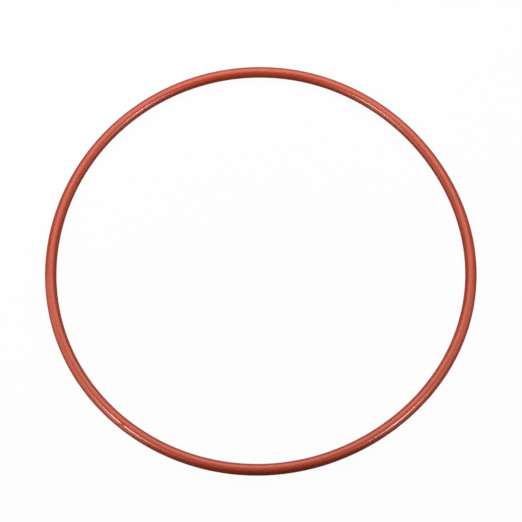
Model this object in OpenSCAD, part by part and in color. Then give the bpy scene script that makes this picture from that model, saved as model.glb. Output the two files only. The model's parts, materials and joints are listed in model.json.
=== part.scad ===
// Silicone O-ring: a round cord moulded as one closed ring, lying flat.
// The origin is the ring's centre, halfway up the cord, and Z is the ring's axis.
// Lengths are in millimetres.

/* [Ring] */
// Inside diameter of the ring, across the bare cord
inside_d = 128; // [20:1:300]
// Thickness of the cord, which is its section's diameter
cord_d = 3.5; // [2:0.1:10]

/* [Parting line] */
// How far the trimmed seam stands proud of the cord, inside and outside the ring
seam_height = 0.06; // [0.02:0.01:0.15]
// Width of the seam's flat crest, along the ring's axis
seam_land = 0.16; // [0.08:0.02:0.3]
// Width of the seam at its foot, where its two flanks run into the cord
seam_foot = 0.36; // [0.32:0.02:0.6]

/* [Hidden] */

$fn = 180;

cord_r = cord_d / 2;

// Radius of the circle that the middle of the cord follows
pitch_r = inside_d / 2 + cord_r;

// The seam's section, measured from the middle of the cord: its crest stands proud of
// the surface, and its root lies as deep below the surface as the crest is high
crest_reach = cord_r + seam_height;
root_reach = sqrt(pow(cord_r, 2) - pow(seam_foot / 2, 2)) - seam_height;

// The cord, a circle turned round the ring's axis
module cord() {
    rotate_extrude()
        translate([pitch_r, 0])
            circle(r = cord_r);
}

// The seam left where the two halves of the mould met, with the flash trimmed off.
// It runs round the outside of the ring for side = 1, and round the inside for side = -1.
module parting_seam(side) {
    rotate_extrude()
        translate([pitch_r, 0])
            polygon([
                [side * root_reach, -seam_foot / 2],
                [side * crest_reach, -seam_land / 2],
                [side * crest_reach, seam_land / 2],
                [side * root_reach, seam_foot / 2]
            ]);
}

module o_ring() {
    color("#c0513a")
        union() {
            cord();
            parting_seam(side = -1);
            parting_seam(side = 1);
        }
}

o_ring();
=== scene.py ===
"""A red silicone O-ring lying on a white table, seen from above and a little in front."""

import json
import math

import bmesh
import bpy
from mathutils import Matrix, Vector, noise


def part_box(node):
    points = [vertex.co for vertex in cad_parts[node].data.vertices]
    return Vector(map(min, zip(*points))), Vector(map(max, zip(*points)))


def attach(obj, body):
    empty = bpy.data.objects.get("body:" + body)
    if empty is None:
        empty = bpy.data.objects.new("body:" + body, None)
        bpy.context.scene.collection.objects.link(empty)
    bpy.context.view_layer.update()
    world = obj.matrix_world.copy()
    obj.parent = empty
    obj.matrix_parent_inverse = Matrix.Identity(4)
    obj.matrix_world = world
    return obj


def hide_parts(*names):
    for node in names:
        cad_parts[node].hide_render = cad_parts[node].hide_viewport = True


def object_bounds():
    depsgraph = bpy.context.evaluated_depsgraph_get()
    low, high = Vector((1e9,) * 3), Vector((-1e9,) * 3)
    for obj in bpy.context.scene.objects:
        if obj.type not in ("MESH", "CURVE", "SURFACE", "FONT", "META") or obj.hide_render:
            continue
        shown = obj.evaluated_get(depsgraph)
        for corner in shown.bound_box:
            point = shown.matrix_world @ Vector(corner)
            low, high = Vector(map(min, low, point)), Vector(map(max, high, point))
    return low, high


MM = 0.001

# Mesh fineness. The ring is spun as one sector, which is then repeated
SECTORS = 24
SECTOR_STEPS = 70
CORD_STEPS = 48
WELD_DISTANCE = 0.001 * MM
SHARP_ANGLE = math.radians(25)

# Width of the moulding seam where its flanks meet the cord's surface
SEAM_FOOT = 0.26 * MM
# The trimmed crest is up to this much lower here and there, over lengths of about this much
TRIM_DEPTH = 0.03 * MM
TRIM_LENGTH = 5 * MM

# How the slack ring lies out of round: (bulges round the ring, height, azimuth of one bulge)
RELAXED_SHAPE = (
    (2, 0.10 * MM, math.radians(45)),
    (3, 0.38 * MM, math.radians(-18)),
    (4, 0.12 * MM, math.radians(-7)),
    (5, 0.06 * MM, math.radians(-11)),
)

# Two flaws of the surface, each at (azimuth round the ring, angle round the cord from its outer side)
SCUFF_PLACE = (math.radians(231.4), math.radians(69))
SCUFF_LENGTH = 0.8 * MM
SCUFF_WIDTH = 0.6 * MM
SCUFF_DEPTH = 0.04 * MM
PIMPLE_PLACE = (math.radians(301.6), math.radians(76))
PIMPLE_RADIUS = 0.35 * MM
PIMPLE_HEIGHT = 0.03 * MM

# The pigment's clouds and the specks in them, and what the specks multiply the colour by
CLOUD_SIZE = 8 * MM
SPECK_SIZE = 0.6 * MM
SPECK_SHADES = (0.96, 1.04)
# Bloom lies in patches of this size. The red sheen is as rough as the first value where there is
# hardly any, and as rough as the second where it is thick
BLOOM_SIZE = 2.5 * MM
SHEEN_ROUGHNESS = (0.36, 0.46)
# At the middle of the scuff, the roughness that it adds and the share of the clear skin that is gone,
# which is over 1, so that a small patch is quite bare
SCUFF_ROUGHNESS = 0.3
SKIN_LOSS = 1.1
# The mould's turning lines: how far apart and how deep they are, and how fast they change round the
# ring, as a share of how fast they change across the cord
LINE_SPACING = 0.25 * MM
LINE_DEPTH = 0.0015 * MM
LINE_DRIFT = 0.03
# Most of a noise texture lies between these two values
NOISE_RANGE = (0.3, 0.7)

# Camera: how far up it looks from, its distance, and its lens and sensor width in millimetres
CAMERA_ELEVATION = math.radians(71)
CAMERA_DISTANCE = 505 * MM
CAMERA_LENS = 110.85
CAMERA_SENSOR = 36
CAMERA_AIM = Vector((0.31, 0.80, 0)) * MM
# The camera sees this far, in metres, which is past the edge of the floor
CAMERA_REACH = 20

FLOOR_SIZE = 6000 * MM
FLOOR_COLOUR = "#202020"
FLOOR_ROUGHNESS = 0.4
# How far the floor is shown as plain white to the camera, and in what mirrors it
FLOOR_WHITE_SEEN = 0.96
FLOOR_WHITE_MIRRORED = 0.05

# The light that the room itself sheds, where 1 is white paper
ROOM_LIGHT = 0.01
# The middle of the room's bright ceiling, which shows in gloss: straight up and some way behind.
# It is this bright there and fades to nothing where the cosine from the middle falls to the edge's
CEILING_MIDDLE = (0, 0.6, 0.8)
CEILING_LEVEL = 0.95
CEILING_EDGE = 0.4

WHITE = "#FFFFFF"

# A Mix node's two inputs and its output for colours, which have the same names as those for numbers
COLOUR_A = 6
COLOUR_B = 7
COLOUR_RESULT = 2


def linear(hex_colour):
    """The linear red, green, blue and alpha of an sRGB hex colour."""
    channels = [int(hex_colour[i:i + 2], 16) / 255 for i in (1, 3, 5)]
    return [c / 12.92 if c <= 0.04045 else ((c + 0.055) / 1.055) ** 2.4 for c in channels] + [1.0]


def add_node(tree, kind, inputs=None, **settings):
    """A node with its settings, and its inputs set to values or linked to other nodes' outputs."""
    node = tree.nodes.new(kind)
    for name, value in settings.items():
        setattr(node, name, value)
    for socket, value in (inputs or {}).items():
        if isinstance(value, bpy.types.NodeSocket):
            tree.links.new(value, node.inputs[socket])
        else:
            node.inputs[socket].default_value = value
    return node


def new_material(name):
    """A material whose node tree holds nothing yet."""
    material = bpy.data.materials.new(name)
    material.use_nodes = True
    material.node_tree.nodes.clear()
    return material


def finish_material(material, shader):
    """The material with its shader as its surface."""
    add_node(material.node_tree, "ShaderNodeOutputMaterial", {"Surface": shader.outputs[0]})
    return material


def new_object(name, data):
    """An object for a mesh, lamp or camera, in the scene and at its origin."""
    thing = bpy.data.objects.new(name, data)
    bpy.context.scene.collection.objects.link(thing)
    return thing


def mesh_object(name, bm, material):
    """An object whose mesh is the finished bmesh, which is freed."""
    mesh = bpy.data.meshes.new(name)
    bm.to_mesh(mesh)
    bm.free()
    mesh.materials.append(material)
    return new_object(name, mesh)


def mount_size(record, name):
    """The radius and length of one of the part's round mounts, in metres."""
    mount = next(m for m in record["mounts"] if m["name"] == name)
    return mount["dims"]["r_mm"] * MM, mount["dims"]["length_mm"] * MM


def moulded_silicone():
    """Silicone rubber filled with red iron oxide, compression moulded. It shines twice. Pigment grains
    close under the surface give a broad red sheen, patchy where a bloom of filler dulls them, and the
    clear skin over them, smooth from the polished mould, gives the thin white highlights. The body is
    opaque brick red, a little uneven from place to place."""
    material = new_material("moulded_red_silicone")
    tree = material.node_tree
    place = add_node(tree, "ShaderNodeTexCoord").outputs["Object"]
    section = add_node(tree, "ShaderNodeAttribute", attribute_name="section_place").outputs["Vector"]
    scuff = add_node(tree, "ShaderNodeAttribute", attribute_name="scuff").outputs["Fac"]
    noise_low, noise_high = NOISE_RANGE

    # Clouds of pigment with specks in them
    clouds = add_node(
        tree, "ShaderNodeTexNoise", {"Vector": place, "Scale": 1 / CLOUD_SIZE, "Detail": 3.0})
    pigment = add_node(
        tree, "ShaderNodeMix",
        {"Factor": clouds.outputs["Fac"], COLOUR_A: linear("#C64A2F"), COLOUR_B: linear("#DA5637")},
        data_type="RGBA")
    specks = add_node(
        tree, "ShaderNodeTexNoise", {"Vector": place, "Scale": 1 / SPECK_SIZE, "Detail": 2.0})
    shade = add_node(tree, "ShaderNodeMapRange", {
        "Value": specks.outputs["Fac"],
        "From Min": noise_low,
        "From Max": noise_high,
        "To Min": SPECK_SHADES[0],
        "To Max": SPECK_SHADES[1],
    })
    colour = add_node(
        tree, "ShaderNodeVectorMath", {0: pigment.outputs[COLOUR_RESULT], 1: shade.outputs[0]},
        operation="MULTIPLY")

    # Bloom, a thin film in patches, and the scuff dull the red sheen
    bloom = add_node(
        tree, "ShaderNodeTexNoise", {"Vector": place, "Scale": 1 / BLOOM_SIZE, "Detail": 4.0})
    film = add_node(tree, "ShaderNodeMapRange", {
        "Value": bloom.outputs["Fac"],
        "From Min": noise_low,
        "From Max": noise_high,
        "To Min": SHEEN_ROUGHNESS[0],
        "To Max": SHEEN_ROUGHNESS[1],
    })
    roughness = add_node(
        tree, "ShaderNodeMath", {0: scuff, 1: SCUFF_ROUGHNESS, 2: film.outputs[0]},
        operation="MULTIPLY_ADD")

    # The scuff has lost its clear skin, so the white highlight breaks off there
    skin = add_node(
        tree, "ShaderNodeMath", {0: scuff, 1: -SKIN_LOSS, 2: 1.0},
        operation="MULTIPLY_ADD", use_clamp=True)

    # The mould's turning lines: a noise over the cord's section, which changes slowly round the ring,
    # so that the lines run along it and fade in and out
    stretched = add_node(
        tree, "ShaderNodeVectorMath", {0: place, 1: (LINE_DRIFT,) * 3, 2: section},
        operation="MULTIPLY_ADD")
    lines = add_node(
        tree, "ShaderNodeTexNoise",
        {"Vector": stretched.outputs[0], "Scale": 1 / LINE_SPACING, "Detail": 1.0})
    bump = add_node(
        tree, "ShaderNodeBump",
        {"Height": lines.outputs["Fac"], "Strength": 1.0, "Distance": LINE_DEPTH})

    shader = add_node(tree, "ShaderNodeBsdfPrincipled", {
        "Base Color": colour.outputs[0],
        "Roughness": roughness.outputs[0],
        "IOR": 1.5,
        "Specular IOR Level": 0.9,
        "Specular Tint": linear("#FF7346"),
        "Normal": bump.outputs[0],
        "Coat Weight": skin.outputs[0],
        "Coat Roughness": 0.24,
        "Coat IOR": 1.45,
        "Coat Normal": bump.outputs[0],
    })
    return finish_material(material, shader)


def ring_section(bm, pitch_r, cord_r, crest_r, seam_land):
    """The cord's section on the +X side of the ring, with a seam crest outside and inside."""
    upright = Matrix.Rotation(math.pi / 2, 4, "X")
    bmesh.ops.create_circle(
        bm, segments=CORD_STEPS, radius=cord_r, matrix=Matrix.Translation((pitch_r, 0, 0)) @ upright)
    for height in (-SEAM_FOOT / 2, -seam_land / 2, seam_land / 2, SEAM_FOOT / 2):
        bmesh.ops.bisect_plane(
            bm, geom=bm.verts[:] + bm.edges[:], plane_co=(0, 0, height), plane_no=(0, 0, 1))
    for vert in bm.verts:
        if abs(vert.co.z) < seam_land / 2 + WELD_DISTANCE:
            vert.co.x = pitch_r + math.copysign(crest_r, vert.co.x - pitch_r)


def spin_sectors(bm):
    """Spins the section round Z: first one sector of the ring, then copies of it, welded end to end."""
    sector = 2 * math.pi / SECTORS
    bmesh.ops.spin(
        bm, geom=bm.verts[:] + bm.edges[:], cent=(0, 0, 0), axis=(0, 0, 1), dvec=(0, 0, 0),
        angle=sector, steps=SECTOR_STEPS)
    bmesh.ops.spin(
        bm, geom=bm.verts[:] + bm.edges[:] + bm.faces[:], cent=(0, 0, 0), axis=(0, 0, 1),
        dvec=(0, 0, 0), angle=2 * math.pi - sector, steps=SECTORS - 1, use_duplicate=True)
    bmesh.ops.remove_doubles(bm, verts=bm.verts, dist=WELD_DISTANCE)


def spot(along, across, length, width):
    """1 at the middle of a spot on the surface, falling smoothly to 0 past its length and width."""
    return math.exp(-(along / length) ** 2 - (across / width) ** 2)


def weather(bm, pitch_r, cord_r):
    """Makes the perfect ring a real one: its trimmed seam, its two flaws, and the slightly uneven shape
    that it takes when it lies slack. Each point keeps two values for the material: its place in the
    cord's section, and how far it lies in the scuff."""
    section_place = bm.verts.layers.float_vector.new("section_place")
    scuff = bm.verts.layers.float.new("scuff")
    for vert in bm.verts:
        azimuth = math.atan2(vert.co.y, vert.co.x) % (2 * math.pi)
        reach = math.hypot(vert.co.x, vert.co.y) - pitch_r
        angle = math.atan2(vert.co.z, reach)
        vert[section_place] = (reach, vert.co.z, 0)

        # Only the seam's crest stands past the cord. The noise that trims it runs from -1 to 1
        rise = 0
        if math.hypot(reach, vert.co.z) > cord_r + WELD_DISTANCE:
            rise -= TRIM_DEPTH * (0.5 + 0.5 * noise.noise(vert.co / TRIM_LENGTH))
        vert[scuff] = spot(
            (azimuth - SCUFF_PLACE[0]) * pitch_r, (angle - SCUFF_PLACE[1]) * cord_r,
            SCUFF_LENGTH, SCUFF_WIDTH)
        rise -= SCUFF_DEPTH * vert[scuff]
        rise += PIMPLE_HEIGHT * spot(
            (azimuth - PIMPLE_PLACE[0]) * pitch_r, (angle - PIMPLE_PLACE[1]) * cord_r,
            PIMPLE_RADIUS, PIMPLE_RADIUS)
        slack = sum(height * math.cos(n * (azimuth - peak)) for n, height, peak in RELAXED_SHAPE)

        outward = rise * math.cos(angle) + slack
        vert.co += Vector((
            outward * math.cos(azimuth), outward * math.sin(azimuth), rise * math.sin(angle)))


def make_ring(frame):
    """The whole ring as one closed mesh, in the place of the CAD node. The two mounts are the seam's
    crests, and the top of the solid is the top of the cord."""
    shaft_r, seam_land = mount_size(frame["record"], "shaft_seat")
    housing_r, _ = mount_size(frame["record"], "housing_seat")
    cord_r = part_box("o_ring")[1].z
    pitch_r = (shaft_r + housing_r) / 2
    crest_r = (housing_r - shaft_r) / 2

    bm = bmesh.new()
    ring_section(bm, pitch_r, cord_r, crest_r, seam_land)
    spin_sectors(bm)
    weather(bm, pitch_r, cord_r)
    bmesh.ops.recalc_face_normals(bm, faces=bm.faces)
    for face in bm.faces:
        face.smooth = True
    for edge in bm.edges:
        edge.smooth = edge.calc_face_angle() < SHARP_ANGLE
    ring = mesh_object("silicone_ring", bm, moulded_silicone())
    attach(ring, "root")
    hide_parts("o_ring")


def white_floor(height):
    """A satin white acrylic sheet: almost plain white to the camera, but for the ring's faint shadow,
    and dark in the light that it throws back."""
    material = new_material("white_acrylic_sheet")
    tree = material.node_tree
    ray = add_node(tree, "ShaderNodeLightPath").outputs
    seen = add_node(
        tree, "ShaderNodeMath", {0: ray["Is Camera Ray"], 1: FLOOR_WHITE_SEEN}, operation="MULTIPLY")
    mirrored = add_node(
        tree, "ShaderNodeMath", {0: ray["Is Glossy Ray"], 1: ray["Is Transmission Ray"]},
        operation="ADD")
    share = add_node(
        tree, "ShaderNodeMath",
        {0: mirrored.outputs[0], 1: FLOOR_WHITE_MIRRORED, 2: seen.outputs[0]}, operation="MULTIPLY_ADD")
    colour = add_node(
        tree, "ShaderNodeMix",
        {"Factor": ray["Is Camera Ray"], COLOUR_A: linear(FLOOR_COLOUR), COLOUR_B: linear(WHITE)},
        data_type="RGBA")
    sheet = add_node(
        tree, "ShaderNodeBsdfPrincipled",
        {"Base Color": colour.outputs[COLOUR_RESULT], "Roughness": FLOOR_ROUGHNESS, "IOR": 1.49})
    white = add_node(tree, "ShaderNodeEmission", {"Color": linear(WHITE), "Strength": 1.0})
    shader = add_node(
        tree, "ShaderNodeMixShader", {0: share.outputs[0], 1: sheet.outputs[0], 2: white.outputs[0]})

    bm = bmesh.new()
    bmesh.ops.create_grid(
        bm, x_segments=1, y_segments=1, size=FLOOR_SIZE / 2, matrix=Matrix.Translation((0, 0, height)))
    floor = mesh_object("table", bm, finish_material(material, shader))


def softbox(name, azimuth, elevation, distance, width, height, brightness, gloss_only=False):
    """A rectangular lamp that faces the ring's centre, from a direction given in degrees. A brightness
    of 1 looks as bright as white paper. A lamp that is gloss_only shows in highlights alone."""
    lamp = bpy.data.lights.new(name, "AREA")
    lamp.shape = "RECTANGLE"
    lamp.size = width
    lamp.size_y = height
    # A flat lamp's power is its brightness times its area and pi
    lamp.energy = brightness * math.pi * width * height
    azimuth, elevation = math.radians(azimuth), math.radians(elevation)
    towards = Vector((
        math.cos(elevation) * math.cos(azimuth),
        math.cos(elevation) * math.sin(azimuth),
        math.sin(elevation)))
    lamp_object = new_object(name, lamp)
    lamp_object.location = towards * distance
    lamp_object.rotation_euler = towards.to_track_quat("Z", "Y").to_euler()
    lamp_object.visible_camera = False
    lamp_object.visible_diffuse = not gloss_only


def studio_light():
    """A large softbox behind the ring and a smaller one to each side light it. In front, two catch
    lights give its highlights, and two dim panels, low down, a grey gloss on its shaded side."""
    softbox(
        "rear_softbox", azimuth=92, elevation=49, distance=0.23,
        width=0.35, height=0.22, brightness=1.9)
    softbox(
        "left_softbox", azimuth=200, elevation=23, distance=0.165,
        width=0.19, height=0.13, brightness=1.28)
    softbox(
        "right_softbox", azimuth=-20, elevation=28, distance=0.165,
        width=0.16, height=0.11, brightness=1.08)
    softbox(
        "left_catch_light", azimuth=216, elevation=46, distance=0.5,
        width=0.045, height=0.075, brightness=90, gloss_only=True)
    softbox(
        "right_catch_light", azimuth=-34.8, elevation=46, distance=0.5,
        width=0.045, height=0.075, brightness=82, gloss_only=True)
    softbox(
        "left_low_panel", azimuth=220, elevation=8, distance=0.5,
        width=0.16, height=0.1, brightness=2.0, gloss_only=True)
    softbox(
        "right_low_panel", azimuth=-40, elevation=8, distance=0.5,
        width=0.16, height=0.1, brightness=1.2, gloss_only=True)


def studio_room():
    """A white room for the camera. The ring mirrors its ceiling bright and its front dark, and it adds
    little light."""
    world = bpy.data.worlds.new("studio")
    bpy.context.scene.world = world
    world.use_nodes = True
    tree = world.node_tree
    tree.nodes.clear()
    ray = add_node(tree, "ShaderNodeLightPath").outputs
    direction = add_node(tree, "ShaderNodeTexCoord").outputs["Generated"]
    cosine = add_node(
        tree, "ShaderNodeVectorMath", {0: direction, 1: CEILING_MIDDLE}, operation="DOT_PRODUCT")
    ceiling = add_node(tree, "ShaderNodeMapRange", {
        "Value": cosine.outputs["Value"],
        "From Min": CEILING_EDGE,
        "From Max": 1.0,
        "To Min": 0.0,
        "To Max": CEILING_LEVEL,
    }, interpolation_type="SMOOTHSTEP")
    mirrored = add_node(
        tree, "ShaderNodeMath", {0: ray["Is Glossy Ray"], 1: ray["Is Transmission Ray"]},
        operation="ADD")
    mirrored_level = add_node(
        tree, "ShaderNodeMath", {0: mirrored.outputs[0], 1: ceiling.outputs[0], 2: ROOM_LIGHT},
        operation="MULTIPLY_ADD")
    level = add_node(
        tree, "ShaderNodeMix",
        {"Factor": ray["Is Camera Ray"], "A": mirrored_level.outputs[0], "B": 1.0})
    background = add_node(
        tree, "ShaderNodeBackground", {"Color": linear(WHITE), "Strength": level.outputs["Result"]})
    add_node(tree, "ShaderNodeOutputWorld", {"Surface": background.outputs[0]})


def place_camera():
    """The camera in front of the ring and above it, aimed close to its centre."""
    camera = bpy.data.cameras.new("camera")
    camera.lens = CAMERA_LENS
    camera.sensor_width = CAMERA_SENSOR
    camera.clip_end = CAMERA_REACH
    away = Vector((0, -math.cos(CAMERA_ELEVATION), math.sin(CAMERA_ELEVATION)))
    camera_object = new_object("camera", camera)
    camera_object.location = CAMERA_AIM + CAMERA_DISTANCE * away
    camera_object.rotation_euler = away.to_track_quat("Z", "Y").to_euler()
    bpy.context.scene.camera = camera_object


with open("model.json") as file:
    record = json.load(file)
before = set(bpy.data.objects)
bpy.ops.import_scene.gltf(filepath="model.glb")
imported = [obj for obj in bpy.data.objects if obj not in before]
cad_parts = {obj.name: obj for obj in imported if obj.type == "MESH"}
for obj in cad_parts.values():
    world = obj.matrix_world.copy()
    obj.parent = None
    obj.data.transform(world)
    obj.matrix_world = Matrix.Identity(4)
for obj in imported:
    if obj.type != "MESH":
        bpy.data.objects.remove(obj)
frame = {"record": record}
cad_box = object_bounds()

place_camera()
make_ring(frame)
white_floor(cad_box[0].z)
studio_light()
studio_room()
bpy.context.scene.view_settings.view_transform = "Standard"
